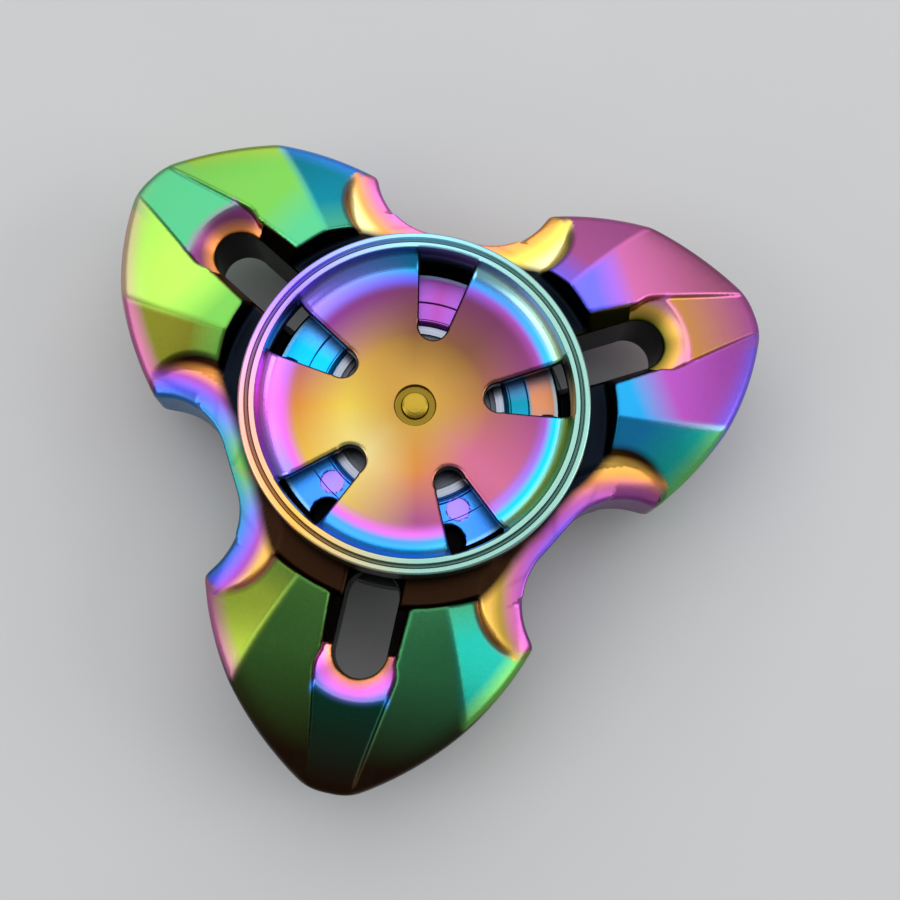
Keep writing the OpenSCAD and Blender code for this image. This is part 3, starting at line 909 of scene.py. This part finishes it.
@dataclass
class FingerCap:
    """A dished finger cap with a double rim and five tapered slots."""

    radius: float = 11.5
    rim: float = 6.2
    skirt: float = 3.05
    pin_radius: float = 0.9
    recess_radius: float = 1.4
    dish_radius: float = 9.15
    dish_edge: float = 4.85
    dish_centre: float = 4.3
    recess_depth: float = 0.3
    band_turn: float = 78.0
    band_size: tuple[float, float] = (1.28, 1.27)
    boss: float = 2.38
    slot_first: float = 90.0
    slot_count: int = 5
    slot_inner: float = 5.7
    slot_end_radius: float = 1.0
    slot_outer: float = 10.35
    slot_reach: float = 11.0
    slot_half_width: float = 2.1
    slot_round: float = 0.36
    # Share of its colour that the dish keeps under painted shade, and the radii over which that shade
    # fades out.
    dish_shade: float = 0.52
    dish_shade_fade: tuple[float, float] = (8.2, 9.4)
    turns: int = 320
    compass: tuple[float, ...] = (13, 58, 103, 148, 193, 238, 283, 328)
    section: np.ndarray = field(init=False)

    def __post_init__(self) -> None:
        """Draws the cap's section: recess, bowl, steep band, double rim, skirt, underside, boss."""
        r = np.linspace(self.recess_radius, self.dish_radius, 12)
        height = self.dish_centre + (self.dish_edge - self.dish_centre) * (r / self.dish_radius) ** 2
        bowl = np.stack([r, height], axis=1)
        last = math.radians(self.band_turn)
        turn = np.linspace(0.0, last, 11)[1:]
        wide, high = self.band_size
        band = np.stack([self.dish_radius + wide * np.sin(turn) / math.sin(last),
                         self.dish_edge + high * (1 - np.cos(turn)) / (1 - math.cos(last))], axis=1)
        recess_floor = self.dish_centre - self.recess_depth
        start = [(self.pin_radius, self.boss), (self.pin_radius, recess_floor),
                 (self.recess_radius - 0.06, recess_floor)]
        rim = [(10.50, 6.15), (10.78, 6.15), (10.86, 5.98), (11.02, 5.98), (11.10, 6.17),
               (11.14, self.rim), (self.radius - 0.14, self.rim), (self.radius - 0.04, self.rim - 0.05),
               (self.radius, self.rim - 0.16)]
        skirt = [(self.radius, self.skirt + 0.1), (self.radius - 0.1, self.skirt), (10.65, self.skirt),
                 (10.55, self.skirt + 0.1)]
        underside = [(10.5, 4.5), (9.6, 3.95), (6.0, 3.35), (4.5, 3.2), (4.15, 2.95), (4.1, self.boss)]
        self.section = np.concatenate([start, bowl, band, rim, skirt, underside])

    def shape(self, p: np.ndarray) -> np.ndarray:
        """Field of the cap: the turned section less the slots, with rounded slot edges.

        Formula: max(section(r, z), -slot), where a slot is bounded by two spreading lines, a
        round inner end and a circle just inside the rim.

        Args:
            p: Points in millimetres.

        Returns:
            Field values, negative inside the metal.
        """
        turned = outline_distance(np.hypot(p[:, 0], p[:, 1]), p[:, 2], self.section)
        return smooth_max(turned, -self.slot_field(p), self.slot_round)

    def slot_field(self, p: np.ndarray) -> np.ndarray:
        """Signed distance to the nearest slot, negative inside it."""
        r = np.hypot(p[:, 0], p[:, 1])
        x, y = fold(p[:, 0], p[:, 1], self.slot_count, self.slot_first)
        y = np.abs(y)
        slope = (self.slot_half_width - self.slot_end_radius) / (self.slot_reach - self.slot_inner)
        sides = (y - self.slot_end_radius - (x - self.slot_inner) * slope) / math.hypot(1, slope)
        end = np.hypot(x - self.slot_inner, y) - self.slot_end_radius
        slot = np.where(x < self.slot_inner + self.slot_end_radius * slope, end, sides)
        return smooth_max(slot, r - self.slot_outer, 0.15)

    def paint(self, skin: Skin) -> np.ndarray:
        """Coating of the cap: gold in the dish, a full turn of the rainbow up the steep band, with a
        painted highlight and painted shade.

        Formula: a ring of eight tints at each of several radii, mixed in straight lines round the
        ring and from ring to ring.

        Args:
            skin: The meshed upper cap.

        Returns:
            Linear colours.
        """
        p = skin.points
        r, angle = np.hypot(p[:, 0], p[:, 1]), np.degrees(np.arctan2(p[:, 1], p[:, 0]))
        rings = [shades(angle, self.compass, tints, 360.0) for tints in CAP_RINGS]
        colour = rings[0]
        for radius, width, ring in zip(CAP_RADII, CAP_WIDTHS, rings[1:]):
            colour = mixed(colour, ring, (r - radius) / width)
        # Painted shade: the dish inside the steep band is darkened.
        colour = colour * np.interp(r, self.dish_shade_fade, (self.dish_shade, 1.0))[:, None]
        # Painted shade in the pin recess: darkened towards a dim honey.
        recess_edge = self.recess_radius + 0.05
        colour = mixed(colour, Tint.HONEY.light * self.dish_shade, 0.6 * (recess_edge - r) / 0.1)
        # Painted shade on the steep walls of the slots: darkened towards cocoa.
        steep, slot_top, slot_reach = 0.6, 5.8, 10.6
        wall = np.clip((0.12 - np.abs(self.slot_field(p))) / 0.1, 0, 1)
        wall = wall * (np.abs(skin.normals[:, 2]) < steep) * (p[:, 2] < slot_top) * (r < slot_reach)
        colour = mixed(colour, Tint.COCOA.light, 0.75 * wall)
        # Painted shade on the cap's side below the rim and on low faces at the outer ends of the slots.
        outside = (p[:, 2] < self.rim - 0.3) & (r > self.radius - 0.3)
        below = (p[:, 2] < self.dish_centre + 0.1) & (r > self.slot_outer - 0.05)
        colour = mixed(colour, Tint.SHADE_NAVY.light, 0.7 * (outside | below))
        # Painted shade in the groove of the double rim.
        groove_radius, groove_width = 10.94, 0.10
        groove = np.clip((groove_width - np.abs(r - groove_radius)) / 0.04, 0, 1) * (p[:, 2] > 5.5)
        colour = mixed(colour, Tint.SHADE_NAVY.light, 0.8 * groove)
        # Painted shade on every face that points downwards.
        facing_down = skin.normals[:, 2] < -0.3
        return mixed(colour, Tint.SHADE_NAVY.light, 0.8 * facing_down)

    def build(self, middle: float) -> list[bpy.types.Object]:
        """Meshes the upper cap and its mirror image, the lower cap.

        Args:
            middle: Height of the middle plane, in metres.

        Returns:
            The two pieces.
        """
        radii = steps(0.78, 1.62, 0.07, 4.6, 0.22, 8.8, 0.14, 10.35, 0.12, 11.66, 0.055)
        heights = steps(2.25, 4.0, 0.14, 6.3, 0.11)
        skin = zero_surface(self.shape, round_grid(radii, self.turns, heights), True, 0.1)
        coat = self.paint(skin)
        return [make_piece("cap_upper_skin", skin, coat, middle),
                make_piece("cap_lower_skin", skin.mirrored(), coat, middle)]


# ---- finishes -----------------------------------------------------------------------------


def add(tree: bpy.types.NodeTree, kind: str, **inputs: object) -> bpy.types.Node:
    """Adds a shader node and sets the sockets that are named, with _ for a space.

    Args:
        tree: Node tree to add to.
        kind: Node type.
        inputs: Values by socket name.

    Returns:
        The new node.
    """
    node = tree.nodes.new(kind)
    for name, value in inputs.items():
        node.inputs[name.replace("_", " ")].default_value = value
    return node


def calc(tree: bpy.types.NodeTree, operation: str, a: object, b: object = 0.0) -> bpy.types.NodeSocket:
    """A math node on two sockets or numbers; returns its result socket."""
    node = tree.nodes.new("ShaderNodeMath")
    node.operation = operation
    for index, value in enumerate((a, b)):
        if isinstance(value, bpy.types.NodeSocket):
            tree.links.new(value, node.inputs[index])
        else:
            node.inputs[index].default_value = value
    return node.outputs[0]


def new_group(name: str, inputs: dict[str, tuple[str, float]],
              outputs: dict[str, str]) -> tuple[bpy.types.NodeTree, bpy.types.Node, bpy.types.Node]:
    """Makes an empty shader node group.

    Args:
        name: Group name.
        inputs: Socket kind and default by input name.
        outputs: Socket kind by output name.

    Returns:
        The group, its input node and its output node.
    """
    group = bpy.data.node_groups.new(name, "ShaderNodeTree")
    for key, (kind, default) in inputs.items():
        group.interface.new_socket(key, in_out="INPUT", socket_type=kind).default_value = default
    for key, kind in outputs.items():
        group.interface.new_socket(key, in_out="OUTPUT", socket_type=kind)
    return group, group.nodes.new("NodeGroupInput"), group.nodes.new("NodeGroupOutput")


def rainbow_group() -> bpy.types.NodeTree:
    """Group that gives the coating its broad drift of hue, its fine casting grain and a few specks.

    Returns:
        The node group.
    """
    group, gin, gout = new_group(
        "rainbow coating",
        {"Color": ("NodeSocketColor", (0.7, 0.5, 0.3, 1.0)), "Wander": ("NodeSocketFloat", 0.02),
         "Roughness": ("NodeSocketFloat", 0.3), "Grain Scale": ("NodeSocketFloat", 5200.0)},
        {"Color": "NodeSocketColor", "Roughness": "NodeSocketFloat", "Height": "NodeSocketFloat"})
    link = group.links.new
    place = group.nodes.new("ShaderNodeTexCoord").outputs["Object"]
    broad = add(group, "ShaderNodeTexNoise", Scale=260.0, Detail=3.0)
    grain = add(group, "ShaderNodeTexNoise", Detail=4.0, Roughness=0.6)
    speck = add(group, "ShaderNodeTexVoronoi", Scale=520.0)
    link(gin.outputs["Grain Scale"], grain.inputs["Scale"])
    for node in (broad, grain, speck):
        link(place, node.inputs["Vector"])
    drift = calc(group, "SUBTRACT", broad.outputs["Fac"], 0.5)
    drift = calc(group, "MULTIPLY", drift, gin.outputs["Wander"])
    dots = add(group, "ShaderNodeMapRange", From_Min=0.02, From_Max=0.06, To_Min=0.93, To_Max=1.0)
    link(speck.outputs["Distance"], dots.inputs["Value"])
    uneven = calc(group, "ADD", calc(group, "MULTIPLY", grain.outputs["Fac"], 0.12), 0.94)
    tone = group.nodes.new("ShaderNodeHueSaturation")
    link(calc(group, "ADD", drift, 0.5), tone.inputs["Hue"])
    link(calc(group, "MULTIPLY", dots.outputs["Result"], uneven), tone.inputs["Value"])
    link(gin.outputs["Color"], tone.inputs["Color"])
    link(tone.outputs["Color"], gout.inputs["Color"])
    rough = calc(group, "ADD", gin.outputs["Roughness"],
                 calc(group, "MULTIPLY", calc(group, "SUBTRACT", grain.outputs["Fac"], 0.5), 0.16))
    link(rough, gout.inputs["Roughness"])
    link(grain.outputs["Fac"], gout.inputs["Height"])
    return group


def turned_group() -> bpy.types.NodeTree:
    """Group for turned or ground metal: fine rings round the spin axis.

    The rings are a noise of the distance from the axis alone, so they run round the part.

    Returns:
        The node group.
    """
    group, gin, gout = new_group(
        "turned metal",
        {"Color": ("NodeSocketColor", (0.7, 0.7, 0.7, 1.0)), "Roughness": ("NodeSocketFloat", 0.25),
         "Fineness": ("NodeSocketFloat", 9000.0)},
        {"Color": "NodeSocketColor", "Roughness": "NodeSocketFloat", "Height": "NodeSocketFloat"})
    link = group.links.new
    place = group.nodes.new("ShaderNodeTexCoord").outputs["Object"]
    split = group.nodes.new("ShaderNodeSeparateXYZ")
    link(place, split.inputs[0])
    square = calc(group, "ADD", calc(group, "MULTIPLY", split.outputs["X"], split.outputs["X"]),
                  calc(group, "MULTIPLY", split.outputs["Y"], split.outputs["Y"]))
    radius = calc(group, "SQRT", square)
    joined = group.nodes.new("ShaderNodeCombineXYZ")
    link(radius, joined.inputs["X"])
    link(split.outputs["Z"], joined.inputs["Z"])
    rings = add(group, "ShaderNodeTexNoise", Detail=3.0)
    link(joined.outputs[0], rings.inputs["Vector"])
    link(gin.outputs["Fineness"], rings.inputs["Scale"])
    smear = add(group, "ShaderNodeTexNoise", Scale=700.0, Detail=3.0)
    link(place, smear.inputs["Vector"])
    tone = add(group, "ShaderNodeMapRange", From_Min=0.3, From_Max=0.7, To_Min=0.72, To_Max=1.1)
    link(rings.outputs["Fac"], tone.inputs["Value"])
    mix = group.nodes.new("ShaderNodeVectorMath")
    mix.operation = "SCALE"
    link(gin.outputs["Color"], mix.inputs[0])
    link(tone.outputs["Result"], mix.inputs["Scale"])
    link(mix.outputs[0], gout.inputs["Color"])
    rough = calc(group, "ADD", gin.outputs["Roughness"],
                 calc(group, "MULTIPLY", calc(group, "SUBTRACT", smear.outputs["Fac"], 0.5), 0.2))
    link(rough, gout.inputs["Roughness"])
    link(rings.outputs["Fac"], gout.inputs["Height"])
    return group


def connect(material: bpy.types.Material, effect: bpy.types.Node, bump: float, depth: float) -> None:
    """Joins an effect group to the material's own Principled shader and bump.

    Args:
        material: The material.
        effect: The placed group, with Color, Roughness and Height outputs.
        bump: Strength of the bump.
        depth: Height of the bump, in metres.
    """
    tree = material.node_tree
    shader = tree.nodes["Principled BSDF"]
    relief = add(tree, "ShaderNodeBump", Strength=bump, Distance=depth)
    tree.links.new(effect.outputs["Height"], relief.inputs["Height"])
    tree.links.new(relief.outputs["Normal"], shader.inputs["Normal"])
    tree.links.new(effect.outputs["Color"], shader.inputs["Base Color"])
    tree.links.new(effect.outputs["Roughness"], shader.inputs["Roughness"])


@dataclass(frozen=True)
class RainbowCoat:
    """Satin rainbow coating on a cast part, coloured by the piece's own coat attribute."""

    name: str
    roughness: float = 0.34
    wander: float = 0.02
    grain_scale: float = 5200.0
    bump: float = 0.16
    relief: float = 0.00003

    def make(self, group: bpy.types.NodeTree, plain: Optional[Tint] = None) -> bpy.types.Material:
        """Builds the material.

        Args:
            group: The rainbow coating group.
            plain: Tint for a part that carries no coat attribute.

        Returns:
            The material.
        """
        material = bpy.data.materials.new(self.name)
        material.use_nodes = True
        tree = material.node_tree
        shader = tree.nodes["Principled BSDF"]
        shader.inputs["Metallic"].default_value = 1.0
        effect = tree.nodes.new("ShaderNodeGroup")
        effect.node_tree = group
        effect.inputs["Wander"].default_value = self.wander
        effect.inputs["Roughness"].default_value = self.roughness
        effect.inputs["Grain Scale"].default_value = self.grain_scale
        if plain is None:
            source = tree.nodes.new("ShaderNodeAttribute")
            source.attribute_name = COAT
            tree.links.new(source.outputs["Color"], effect.inputs["Color"])
        else:
            effect.inputs["Color"].default_value = linear(plain.value)
        connect(material, effect, self.bump, self.relief)
        return material


@dataclass(frozen=True)
class TurnedSteel:
    """Ground or turned steel with fine rings round the axis."""

    name: str
    colour: tuple[float, float, float]
    roughness: float
    fineness: float = 9000.0
    bump: float = 0.15
    relief: float = 0.00001

    def make(self, group: bpy.types.NodeTree) -> bpy.types.Material:
        """Builds the material from the turned metal group."""
        material = bpy.data.materials.new(self.name)
        material.use_nodes = True
        tree = material.node_tree
        tree.nodes["Principled BSDF"].inputs["Metallic"].default_value = 1.0
        effect = tree.nodes.new("ShaderNodeGroup")
        effect.node_tree = group
        effect.inputs["Color"].default_value = linear(self.colour)
        effect.inputs["Roughness"].default_value = self.roughness
        effect.inputs["Fineness"].default_value = self.fineness
        connect(material, effect, self.bump, self.relief)
        return material


@dataclass(frozen=True)
class StudioFloor:
    """Plain pale floor with a faint mottling."""

    half_size: float = 0.6
    points: int = 5
    colour: tuple[float, float, float] = (0.70, 0.70, 0.70)
    roughness: float = 0.9
    mottle: float = 0.97

    def build(self) -> bpy.types.Object:
        """Makes the floor at height zero."""
        across = np.linspace(-self.half_size, self.half_size, self.points)
        x, y = np.meshgrid(across, across, indexing="ij")
        points = np.stack([x, y, np.zeros_like(x)], axis=-1).reshape(-1, 3)
        row = self.points
        corner = (np.arange(row - 1)[:, None] * row + np.arange(row - 1)[None, :]).reshape(-1)
        faces = np.stack([corner, corner + row, corner + row + 1, corner + 1], axis=1)
        mesh = bpy.data.meshes.new("floor")
        mesh.from_pydata(points.tolist(), [], faces.tolist())
        floor = bpy.data.objects.new("floor", mesh)
        bpy.context.scene.collection.objects.link(floor)
        material = bpy.data.materials.new("floor paper")
        material.use_nodes = True
        tree = material.node_tree
        shader = tree.nodes["Principled BSDF"]
        shader.inputs["Roughness"].default_value = self.roughness
        noise = add(tree, "ShaderNodeTexNoise", Scale=40.0, Detail=4.0)
        tree.links.new(tree.nodes.new("ShaderNodeTexCoord").outputs["Object"], noise.inputs["Vector"])
        ramp = tree.nodes.new("ShaderNodeValToRGB")
        ramp.color_ramp.elements[0].color = linear([c * self.mottle for c in self.colour])
        ramp.color_ramp.elements[1].color = linear(self.colour)
        tree.links.new(noise.outputs["Fac"], ramp.inputs["Fac"])
        tree.links.new(ramp.outputs["Color"], shader.inputs["Base Color"])
        floor.data.materials.append(material)
        return floor


@dataclass(frozen=True)
class Lamp:
    """Soft rectangular light aimed at the spinner.

    Attributes:
        name: Light name.
        place: Position in metres.
        size: Width and height in metres.
        power: Power in watts.
    """

    name: str
    place: tuple[float, float, float]
    size: tuple[float, float]
    power: float

    def build(self) -> None:
        """Adds the light to the scene."""
        data = bpy.data.lights.new(self.name, "AREA")
        data.shape, data.size, data.size_y = "RECTANGLE", self.size[0], self.size[1]
        data.energy = self.power
        lamp = bpy.data.objects.new(self.name, data)
        bpy.context.scene.collection.objects.link(lamp)
        lamp.location = self.place
        lamp.rotation_euler = Vector(self.place).to_track_quat("Z", "Y").to_euler()


@dataclass(frozen=True)
class Studio:
    """Camera and soft lights. The camera looks steeply down on the spinner, a little turned."""

    target: tuple[float, float, float] = (0.00290, -0.00290, 0.0124)
    azimuth: float = 268.15
    elevation: float = 77.6
    distance: float = 0.0713
    lens: float = 44.3
    roll: float = 14.28
    lamps: tuple[Lamp, ...] = (
        Lamp("key", (-0.06, 0.26, 0.42), (0.90, 0.74), 3.3),
        Lamp("side", (0.36, 0.05, 0.22), (0.26, 0.20), 0.6),
        Lamp("near", (-0.34, -0.18, 0.26), (0.30, 0.30), 0.7),
    )
    sky_colour: tuple[float, float, float] = (0.75, 0.78, 0.82)
    sky_strength: float = 0.55

    def camera(self) -> None:
        """Places the camera: back from the target along azimuth and elevation, then rolled."""
        azimuth, elevation = math.radians(self.azimuth), math.radians(self.elevation)
        back = Vector((math.cos(azimuth) * math.cos(elevation),
                       math.sin(azimuth) * math.cos(elevation), math.sin(elevation)))
        data = bpy.data.cameras.new("camera")
        data.lens, data.sensor_width = self.lens, 36.0
        data.clip_start = 0.001
        camera = bpy.data.objects.new("camera", data)
        bpy.context.scene.collection.objects.link(camera)
        turn = back.to_track_quat("Z", "Y").to_matrix().to_4x4()
        spot = Matrix.Translation(Vector(self.target) + back * self.distance)
        camera.matrix_world = spot @ turn @ Matrix.Rotation(math.radians(self.roll), 4, "Z")
        bpy.context.scene.camera = camera

    def light(self) -> None:
        """Main soft light from the far side, weaker ones from the sides, and a dim sky."""
        for lamp in self.lamps:
            lamp.build()
        world = bpy.data.worlds.new("studio")
        world.use_nodes = True
        sky = world.node_tree.nodes["Background"]
        sky.inputs["Color"].default_value = (*self.sky_colour, 1.0)
        sky.inputs["Strength"].default_value = self.sky_strength
        bpy.context.scene.world = world


# ---- putting it together --------------------------------------------------------------------


def dress(obj: bpy.types.Object, material: bpy.types.Material) -> None:
    """Replaces an object's materials with one material."""
    obj.data.materials.clear()
    obj.data.materials.append(material)


def place(obj: bpy.types.Object, part: Part, slot: Slot, material: bpy.types.Material,
          *nodes: str) -> None:
    """Dresses a new piece, ties it to its body and hides the CAD nodes that it stands for.

    Args:
        obj: The piece.
        part: Body that it rides on.
        slot: Material slot of the record; not used.
        material: Its finish.
        nodes: CAD nodes that it replaces.
    """
    dress(obj, material)
    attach(obj, part.value)
    if nodes:
        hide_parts(*nodes)
    log.info("%s: %d points, rides on %s", obj.name, len(obj.data.vertices), part.value)


def main() -> None:
    """Builds the studio, the coated castings and the bearing finishes, in that order."""
    logging.basicConfig(level=logging.INFO, format="%(message)s")
    bpy.context.scene.view_settings.view_transform = "Standard"
    studio = Studio()
    studio.camera()
    studio.light()
    StudioFloor().build()

    middle = float(cad_high[2] + cad_low[2]) / 2
    rainbow, turned = rainbow_group(), turned_group()
    coat = RainbowCoat("rainbow cast body").make(rainbow)
    cap_coat = RainbowCoat("rainbow finger cap", roughness=0.30, wander=0.012).make(rainbow)

    for piece in CastBody().build(middle):
        place(piece, Part.SPINNER, Slot.CAST, coat, "spinner_body")
    upper, lower = FingerCap().build(middle)
    place(upper, Part.GRIP, Slot.CAPS, cap_coat, "upper_cap")
    place(lower, Part.GRIP, Slot.CAPS, cap_coat, "lower_cap")

    nodes = frame["nodes"]
    post_coat = RainbowCoat("rainbow axle", roughness=0.28, wander=0.04).make(rainbow, Tint.HONEY)
    race = TurnedSteel("ground race steel", (0.55, 0.57, 0.62), 0.26).make(turned)
    ball = TurnedSteel("polished ball steel", (0.80, 0.81, 0.83), 0.08, 2000.0).make(turned)
    strip = TurnedSteel("pressed cage strip", (0.62, 0.60, 0.56), 0.38, 5000.0).make(turned)
    washer = TurnedSteel("shield washer", (0.34, 0.35, 0.38), 0.34, 7000.0).make(turned)
    for name, node in nodes.items():
        if name.startswith("ball_") and name != "ball_cage":
            dress(node, ball)
        elif name == "ball_cage":
            dress(node, strip)
        elif name.startswith("bearing_"):
            dress(node, race)
        elif "post" in name:
            dress(node, post_coat)
        elif "shield" in name or "ring" in name:
            dress(node, washer)

    log.info("size written")


if __name__ == "__main__":
    main()
